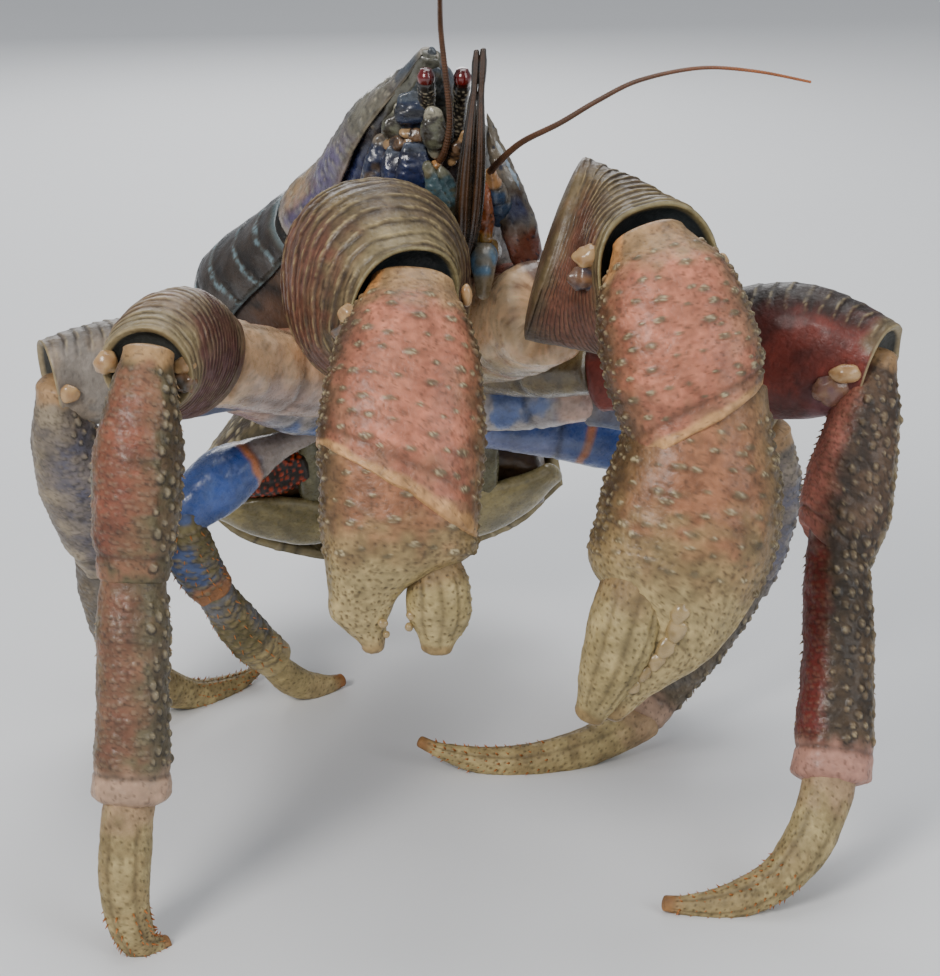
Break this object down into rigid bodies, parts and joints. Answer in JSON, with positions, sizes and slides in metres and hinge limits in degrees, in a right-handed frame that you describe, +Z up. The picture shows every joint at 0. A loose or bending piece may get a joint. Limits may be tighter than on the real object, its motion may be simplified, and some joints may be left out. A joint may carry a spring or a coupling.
{
  "type": "coconut crab",
  "caption": "Life-size coconut crab standing on its walking legs, with two heavy claws hanging in front, long feelers and a folded abdomen.",
  "frame": {"origin": "centre of the bounding box in X and Y, on the floor that the feet stand on", "axes": "+Z up, the head and claws face -Y, the animal's own left side is +X"},
  "size_m": [0.234, 0.236, 0.2564],
  "materials": {
    "belly_skin": "satin",
    "blue_shell": "satin",
    "dark_shell": "gloss",
    "eye": "gloss",
    "feeler": "satin",
    "finger_shell": "matte",
    "red_shell": "satin"
  },
  "bodies": {
    "root": {"antenna_left": "feeler", "antenna_right": "feeler", "antennule_left": "feeler", "antennule_right": "feeler", "belly": "belly_skin", "branchial_left": "dark_shell", "branchial_right": "dark_shell", "claw_left_base": "red_shell", "claw_left_carpus": "red_shell", "claw_left_finger": "finger_shell", "claw_left_merus": "red_shell", "claw_left_palm": "red_shell", "claw_right_base": "red_shell", "claw_right_carpus": "red_shell", "claw_right_finger": "finger_shell", "claw_right_merus": "red_shell", "claw_right_palm": "red_shell", "eye_left": "eye", "eye_right": "eye", "eyestalk_left": "dark_shell", "eyestalk_right": "dark_shell", "face": "dark_shell", "leg2_left_base": "red_shell", "leg2_left_carpus": "red_shell", "leg2_left_dactylus": "finger_shell", "leg2_left_merus": "red_shell", "leg2_left_propodus": "red_shell", "leg2_right_base": "red_shell", "leg2_right_carpus": "red_shell", "leg2_right_dactylus": "finger_shell", "leg2_right_merus": "red_shell", "leg2_right_propodus": "red_shell", "leg3_left_base": "blue_shell", "leg3_left_carpus": "blue_shell", "leg3_left_dactylus": "finger_shell", "leg3_left_merus": "blue_shell", "leg3_left_propodus": "blue_shell", "leg3_right_base": "blue_shell", "leg3_right_carpus": "blue_shell", "leg3_right_dactylus": "finger_shell", "leg3_right_merus": "blue_shell", "leg3_right_propodus": "blue_shell", "leg4_left_carpus": "blue_shell", "leg4_left_finger": "finger_shell", "leg4_left_merus": "blue_shell", "leg4_left_propodus": "blue_shell", "leg4_right_carpus": "blue_shell", "leg4_right_finger": "finger_shell", "leg4_right_merus": "blue_shell", "leg4_right_propodus": "blue_shell", "maxilliped_left": "dark_shell", "maxilliped_right": "dark_shell", "shield": "dark_shell", "tail_plate_left": "belly_skin", "tail_plate_right": "belly_skin", "tergite_1": "dark_shell", "tergite_2": "dark_shell", "tergite_3": "dark_shell", "tergite_4": "dark_shell", "thorax": "dark_shell"}
  },
  "joints": []
}
